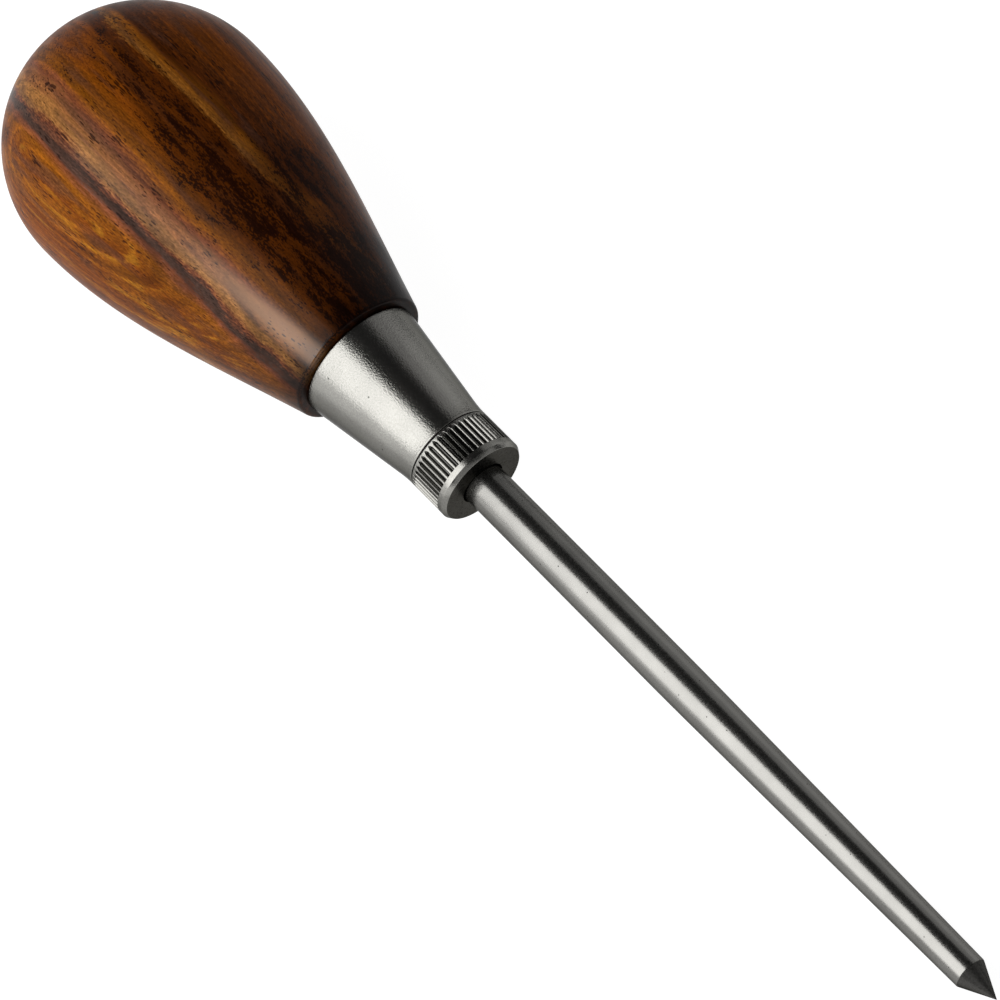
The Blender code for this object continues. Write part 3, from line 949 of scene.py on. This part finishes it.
@dataclass
class ChuckNut:
    """The finger nut: straight knurl, plain rim, chamfer, flat face and a coned inside."""

    radius: float = 6.47
    rear: float = -6.48
    rear_edge: float = 0.12
    rim_front: float = -0.6
    rim_edge: float = 0.06
    chamfer_depth: float = 0.4
    mouth: float = 3.2
    mouth_edge: float = 0.1
    cone_front: float = -0.9
    cavity: float = 4.55
    cone_rear: float = -1.95
    lip: float = 3.95
    lip_front: float = -2.533
    lip_rear: float = -3.133
    bore: float = 5.45
    inner_edge: float = 0.03
    teeth: int = 48
    knurl_rear: float = -6.28
    knurl_front: float = -1.43
    knurl_depth: float = 0.44
    knurl_land: float = 0.3
    knurl_flank: float = 0.26
    knurl_stop: float = 0.04
    run_out: float = 0.5
    run_out_rows: int = 12
    front_rows: tuple[float, ...] = (-0.6, -0.02, 0.0, 0.04, 0.08)
    columns_per_tooth: int = 16
    # Knurled: bright worn lands, with fine grain drawn coarser, and grooves darkened by painted shade.
    finish: Steel = Steel(
        name="knurled_steel_nut",
        tint="#7A7975",
        roughness=0.22,
        speckle=0.2,
        speckle_depth=0.01,
        pit=2.0,
        groove_shade=Ramp(6.2, 6.42, 0.3),
    )
    # Face: a darker copy of the nut's steel, painted shade for the dark reflection on the face, with the
    # lathe's fine rings drawn as coarser specks.
    face_shade_finish: Steel = Steel("nut_face_painted_shade", "#4E4D4A", 0.3, speckle_depth=0.02)

    def knurl(self, height: np.ndarray, turns: np.ndarray) -> np.ndarray:
        """Depth of the straight knurl.

        Across a tooth the groove is a V with a narrow floor: depth * f, where f goes from 0 at the land's
        edge to 1 at the floor. Towards the rear the cutter lifts at an even rate, so the groove runs out to
        a chevron, and in front it ends square.

        Args:
            height: Places along the axis in millimetres, one column.
            turns: Angles of the columns in radians.

        Returns:
            Depths in millimetres, a row for each height.
        """
        tooth = turns * self.teeth / math.tau
        off_land = np.abs(tooth - np.round(tooth)) - self.knurl_land / 2
        groove = self.knurl_depth * np.clip(off_land / self.knurl_flank, 0.0, 1.0)
        lift = self.knurl_depth * np.clip(1 - (height - self.knurl_rear) / self.run_out, 0.0, 2.0)
        stop = 2 * self.knurl_depth * np.clip((height - self.knurl_front) / self.knurl_stop, 0.0, 1.0)
        return np.clip(groove - lift - stop, 0.0, None)

    def build(self, axis: AwlAxis) -> None:
        """Build and dress the nut.

        Args:
            axis: Axis that the nut is turned on.
        """
        share = np.linspace(0.0, 1.0, self.columns_per_tooth, endpoint=False)
        turns = ((np.arange(self.teeth)[:, None] + share) * (math.tau / self.teeth)).ravel()
        corners = (
            (self.bore, self.rear, self.inner_edge),
            (self.radius, self.rear, self.rear_edge),
            (self.radius, self.rim_front, self.rim_edge),
            (self.radius - self.chamfer_depth, 0.0, self.rim_edge),
            (self.mouth, 0.0, self.mouth_edge),
            (self.mouth, self.cone_front, self.inner_edge),
            (self.cavity, self.cone_rear, self.inner_edge),
            (self.cavity, self.lip_front, self.inner_edge),
            (self.lip, self.lip_front, self.inner_edge),
            (self.lip, self.lip_rear, self.inner_edge),
            (self.bore, self.lip_rear, self.inner_edge),
        )
        ends = ring_outline(corners)
        corner = len(ends) // len(corners)
        run = np.linspace(self.knurl_rear, self.knurl_rear + self.run_out, self.run_out_rows)
        tooth_rows = np.concatenate((run, self.knurl_front + np.array(self.front_rows)))[:, None]
        side = np.column_stack((np.full(tooth_rows.size, self.radius), tooth_rows))
        outline = np.concatenate((ends[: 2 * corner], side, ends[2 * corner :]))
        radius = np.repeat(outline[:, :1], turns.size, axis=1)
        rows = slice(2 * corner, 2 * corner + len(side))
        radius[rows] -= self.knurl(tooth_rows, turns)
        piece = turned_piece("knurled_chuck_nut", axis, radius, outline[:, 1:], turns, ring=True)
        piece.data.materials.append(self.finish.material(axis))
        piece.data.materials.append(self.face_shade_finish.material(axis))
        # The darker face steel, painted shade, starts half-way round the chamfer's front edge and ends in
        # the mouth.
        station = np.arange(len(outline))
        shaded_face = (station >= rows.stop + corner + corner // 2) & (station < rows.stop + 4 * corner)
        piece.data.polygons.foreach_set("material_index", np.repeat(shaded_face.astype(np.int32), turns.size))
        join_body(piece, Body.NUT, "chuck_nut")


@dataclass
class Blade:
    """The removable blade: a round rod, parallel, then tapered, then ground to a short cone."""

    radius: float = 3.0 * INSIDE_FLATS
    shank_end: float = -14.03
    shank_chamfer: float = 0.4
    shank_edge: float = 0.05
    taper_start: float = 39.5
    taper_blend: float = 6.0
    shoulder: float = 91.3
    shoulder_radius: float = 2.33 * INSIDE_FLATS
    shoulder_edge: float = 0.12
    tip: float = 96.09
    tip_length: float = 0.12
    tip_edge: float = 0.05
    sides: int = 128
    # Ground: a clean bright streak from end to end, with the wheel's fine scratches drawn as coarser specks.
    finish: Steel = Steel(
        "ground_steel_blade", "#747370", 0.25, speckle=0.24, speckle_depth=0.006, pit=1.8, grit=0.07
    )
    # Stoned: a darker, duller cone, as its fine scratches, drawn as coarser specks, scatter the light.
    point_finish: Steel = Steel("stoned_steel_point", "#4A4947", 0.34, speckle=0.2, speckle_depth=0.012)

    def build(self, axis: AwlAxis) -> None:
        """Build and dress the blade.

        Args:
            axis: Axis that the blade is turned on.
        """
        slope = self.shoulder_radius / (self.tip - self.shoulder)
        corners = (
            (0.0, self.shank_end, 0.0),
            (self.radius - self.shank_chamfer, self.shank_end, self.shank_edge),
            (self.radius, self.shank_end + self.shank_chamfer, self.shank_edge),
            (self.radius, self.taper_start, self.taper_blend),
            (self.shoulder_radius, self.shoulder, self.shoulder_edge),
            (self.tip_length * slope, self.tip - self.tip_length, self.tip_edge),
            (0.0, self.tip, 0.0),
        )
        outline = rounded_outline(corners)
        turns = even_turns(self.sides)
        piece = turned_piece("ground_blade", axis, outline[:, :1], outline[:, 1:], turns)
        piece.data.materials.append(self.finish.material(axis))
        piece.data.materials.append(self.point_finish.material(axis))
        # The faces lie station by station, with the two fans at the ends after the rest.
        stoned = (outline[:-1, 1] >= self.shoulder).astype(np.int32)
        rows = np.concatenate((stoned[1:-1], stoned[:1], stoned[-1:]))
        piece.data.polygons.foreach_set("material_index", np.repeat(rows, self.sides))
        join_body(piece, Body.BLADE, "blade")


def bench_direction(azimuth: float, elevation: float) -> Vector:
    """Unit vector towards an azimuth, 0 for -Y and 90 for +X, and an elevation, both in degrees."""
    turn, rise = math.radians(azimuth), math.radians(elevation)
    return Vector((math.sin(turn) * math.cos(rise), -math.cos(turn) * math.cos(rise), math.sin(rise)))


@dataclass(frozen=True)
class Softbox:
    """A square studio light with an even glow.

    Attributes:
        name: Name of the light.
        elevation: Angle above the bench from the awl's nut, in degrees.
        azimuth: Angle round the bench, 0 on the camera's near side and 90 beyond the point, in degrees.
        shift: Distance of its centre along the bench from there, in metres.
        distance: Distance from the nut in metres.
        width: Length along the bench in metres.
        height: Height of the panel in metres.
        glow: Radiance of its face, where 1 is the white of the picture.
        lies: Whether it lies face up on the bench instead of facing the nut.
    """

    name: str
    elevation: float
    azimuth: float
    shift: float
    distance: float
    width: float
    height: float
    glow: float
    lies: bool = False

    def hang(self, aim: Vector) -> None:
        """Hang the light.

        Args:
            aim: Point that the panel faces straight across the bench.
        """
        lamp = bpy.data.lights.new(self.name, "AREA")
        lamp.shape = "RECTANGLE"
        lamp.size = self.width
        lamp.size_y = self.height
        lamp.energy = self.glow * math.pi * self.width * self.height
        light = bpy.data.objects.new(self.name, lamp)
        away = bench_direction(self.azimuth, self.elevation)
        light.location = aim + self.distance * away + Vector((self.shift, 0.0, 0.0))
        back = Vector((0.0, 0.0, -1.0)) if self.lies else away
        light.rotation_euler = back.to_track_quat("Z", "Y").to_euler()
        light.visible_camera = False
        bpy.context.scene.collection.objects.link(light)
        LOG.info("%s: glow %.2f", self.name, self.glow)


@dataclass
class Studio:
    """The bench, the lights and the camera of the picture."""

    camera_azimuth: float = 49.33
    camera_elevation: float = 50.55
    camera_distance: float = 0.7239
    camera_lens: float = 204.66
    camera_sensor: float = 36.0
    camera_aim: float = 3.317
    bench_half: float = 4.0
    bench_colour: str = "#F3F3F3"
    bench_white: float = 0.93
    bench_shade: float = 0.28
    room_glow: float = 0.035
    softboxes: tuple[Softbox, ...] = (
        Softbox("key_softbox", 30.2, 0.0, -0.06, 0.5, 0.42, 0.6, 4.5),
        Softbox("fill_panel", 20.5, 180.0, 0.0, 0.6, 0.5, 0.378, 0.84),
        Softbox("fill_edge", 50.5, 180.0, 0.0, 0.6, 0.5, 0.266, 0.52),
        Softbox("front_card", -4.0, 0.0, 0.0, 0.15, 0.24, 0.24, 0.8, lies=True),
        Softbox("near_point_card", 20.0, 65.0, 0.0, 0.6, 0.6, 0.4, 0.6),
        Softbox("far_point_card", 20.0, 115.0, 0.0, 0.6, 0.6, 0.4, 0.6),
        Softbox("far_butt_card", 20.0, 245.0, 0.0, 0.6, 0.6, 0.4, 0.6),
        Softbox("near_butt_card", 20.0, 295.0, 0.0, 0.6, 0.6, 0.4, 0.6),
    )

    def build(self, axis: AwlAxis) -> None:
        """Build the bench, the lights, the room and the camera.

        Args:
            axis: Axis of the awl, which the lights and the camera aim at.
        """
        self.lay_bench()
        for softbox in self.softboxes:
            softbox.hang(axis.point(0.0))
        self.fill_room()
        self.place_camera(axis)
        bpy.context.scene.view_settings.view_transform = "Standard"

    def lay_bench(self) -> None:
        """Lay the white bench: a plane that shows as white paper and still takes a shadow."""
        reach = np.linspace(-self.bench_half, self.bench_half, 2)
        x, y = np.meshgrid(reach, reach)
        mesh = bpy.data.meshes.new("white_bench")
        points = np.column_stack((x.ravel(), y.ravel(), np.zeros(4)))
        mesh.from_pydata(points.tolist(), [], [(0, 1, 3, 2)])
        bench = bpy.data.objects.new("white_bench", mesh)
        bpy.context.scene.collection.objects.link(bench)
        # Matt: an even white ground with no gloss and a faint shadow. Paper's fibres are too fine to show.
        material, tree, shader = new_tree("white_paper_matt")
        path = add_node(tree, "LightPath", {})
        rays = {0: path["Is Camera Ray"], 1: path["Is Glossy Ray"]}
        rays = {0: add_node(tree, "Math", rays, operation="ADD")[0], 1: path["Is Transmission Ray"]}
        seen = add_node(tree, "Math", rays, operation="ADD", use_clamp=True)[0]
        shaded = linear_rgba(self.bench_colour, self.bench_shade)
        layers = {"Factor": seen, 6: linear_rgba(self.bench_colour), 7: shaded}
        glow = add_node(tree, "Math", {0: seen, 1: self.bench_white}, operation="MULTIPLY")[0]
        surface = {
            "Base Color": add_node(tree, "Mix", layers, data_type="RGBA")[2],
            "Roughness": 1.0,
            "Specular IOR Level": 0.0,
            "Emission Color": WHITE,
            "Emission Strength": glow,
        }
        feed(tree, shader, surface)
        mesh.materials.append(material)
        LOG.info("white_bench: %.1f m across", 2 * self.bench_half)

    def fill_room(self) -> None:
        """Leave the room round the bench nearly dark, as a studio is."""
        world = bpy.data.worlds.new("dim_studio")
        world.use_nodes = True
        room = {"Color": WHITE, "Strength": self.room_glow}
        feed(world.node_tree, world.node_tree.nodes["Background"], room)
        bpy.context.scene.world = world

    def place_camera(self, axis: AwlAxis) -> None:
        """Place the camera at the picture's viewpoint.

        Args:
            axis: Axis of the awl, which the camera aims at.
        """
        back = bench_direction(self.camera_azimuth, self.camera_elevation)
        lens = bpy.data.cameras.new("studio_camera")
        lens.sensor_width = self.camera_sensor
        lens.lens = self.camera_lens
        camera = bpy.data.objects.new("studio_camera", lens)
        camera.location = axis.point(self.camera_aim) + self.camera_distance * back
        camera.rotation_euler = back.to_track_quat("Z", "Y").to_euler()
        bpy.context.scene.collection.objects.link(camera)
        bpy.context.scene.camera = camera
        LOG.info("%s: %.0f mm lens", camera.name, lens.lens)


def write_sizes() -> None:
    """Bring the placements of the scene up to date."""
    bpy.context.view_layer.update()


def main() -> None:
    """Build the studio and the awl, piece by piece."""
    logging.basicConfig(level=logging.INFO, format="%(name)s %(message)s")
    axis = AwlAxis.from_joint(frame["joints"], "nut_turn")
    Studio().build(axis)
    PalmHandle().build(axis)
    Ferrule().build(axis)
    ChuckStem().build(axis)
    Collet().dress(axis)
    ChuckNut().build(axis)
    Blade().build(axis)
    write_sizes()


if __name__ == "__main__":
    main()
